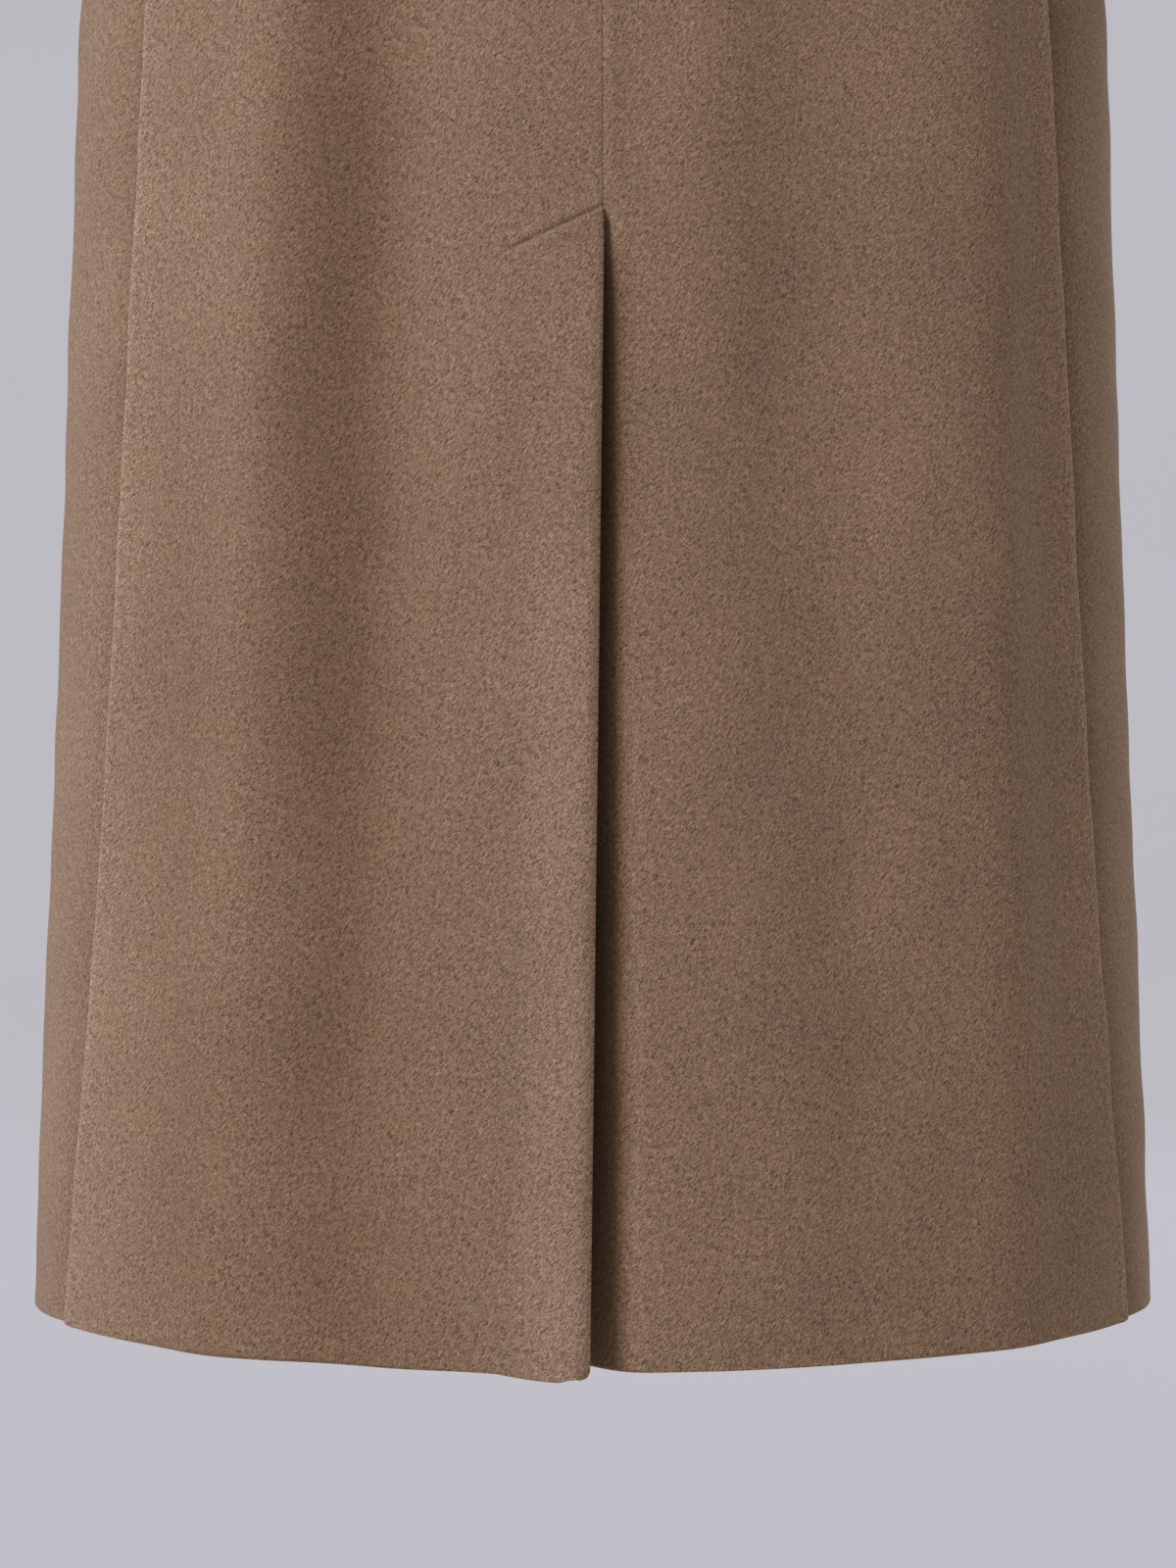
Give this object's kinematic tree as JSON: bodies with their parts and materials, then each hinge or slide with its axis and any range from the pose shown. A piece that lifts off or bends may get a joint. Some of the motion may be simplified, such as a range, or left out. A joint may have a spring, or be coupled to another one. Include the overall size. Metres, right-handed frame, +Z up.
{
  "type": "overcoat",
  "caption": "Long single-breasted wool overcoat in its worn, hollow form, with notched lapels, bent sleeves and a lapped vent at the centre back.",
  "frame": {"origin": "between the wearer's shoulders at the height of the back of the neck, where the wearer carries the coat", "axes": "+Z up, +Y out of the back, +X to the wearer's left"},
  "size_m": [0.7974, 0.4399, 1.2211],
  "materials": {
    "felted_wool": "brown felted wool with a short, slightly hairy nap",
    "dark_horn": "dark brown horn, softly polished"
  },
  "bodies": {
    "root": {"back_left": "felted_wool", "back_right": "felted_wool", "front_left": "felted_wool", "front_right": "felted_wool", "lapel_left": "felted_wool", "lapel_right": "felted_wool", "collar_stand": "felted_wool", "collar_fall": "felted_wool", "sleeve_top_left": "felted_wool", "sleeve_under_left": "felted_wool", "sleeve_top_right": "felted_wool", "sleeve_under_right": "felted_wool", "button_1": "dark_horn", "button_2": "dark_horn", "button_3": "dark_horn"}
  },
  "joints": []
}
